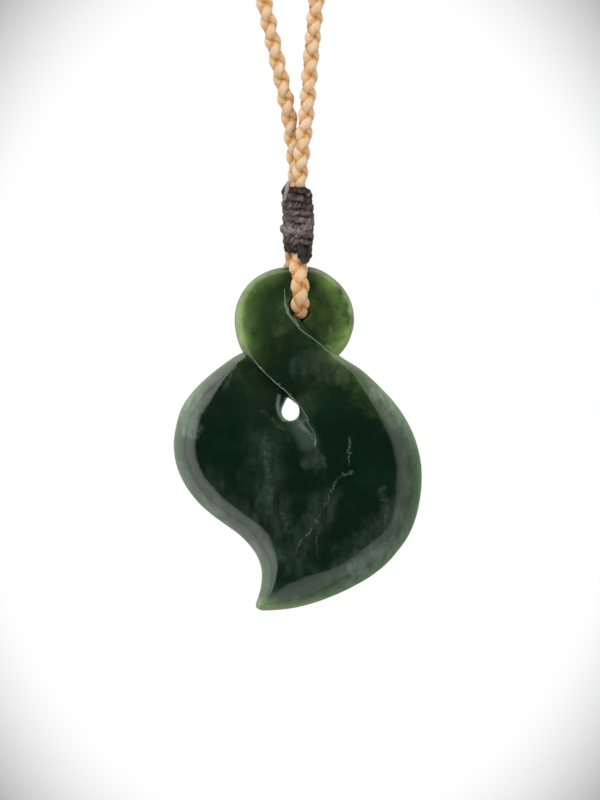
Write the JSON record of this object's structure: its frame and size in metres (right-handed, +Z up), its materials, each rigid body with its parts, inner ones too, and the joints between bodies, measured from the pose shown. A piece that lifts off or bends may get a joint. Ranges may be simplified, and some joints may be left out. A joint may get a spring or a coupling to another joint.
{
  "type": "greenstone twist pendant necklace",
  "caption": "Carved twist pendant of polished greenstone on a plaited cord loop, held by a wound thread binding above its eye.",
  "frame": {"origin": "inside of the cord's loop at the nape, where the necklace hangs", "axes": "+Z up, the carved front faces -Y, +X to the right as seen from the front"},
  "size_m": [0.0973, 0.009, 0.3881],
  "materials": {
    "stone": "polished",
    "cord": "waxed plait",
    "thread": "waxed thread",
    "sleeve": "matte"
  },
  "bodies": {
    "necklace": {"neck_cord_left": "cord", "neck_cord_right": "cord", "binding": "thread", "binding_knot": "thread", "nape_join": "sleeve"},
    "pendant": {"greenstone": "stone"}
  },
  "joints": [
    {"name": "pendant_swing", "type": "hinge", "parent": "necklace", "child": "pendant", "pos_m": [0, 0, -0.335], "axis": [1, 0, 0], "range_deg": [-12, 12]}
  ]
}
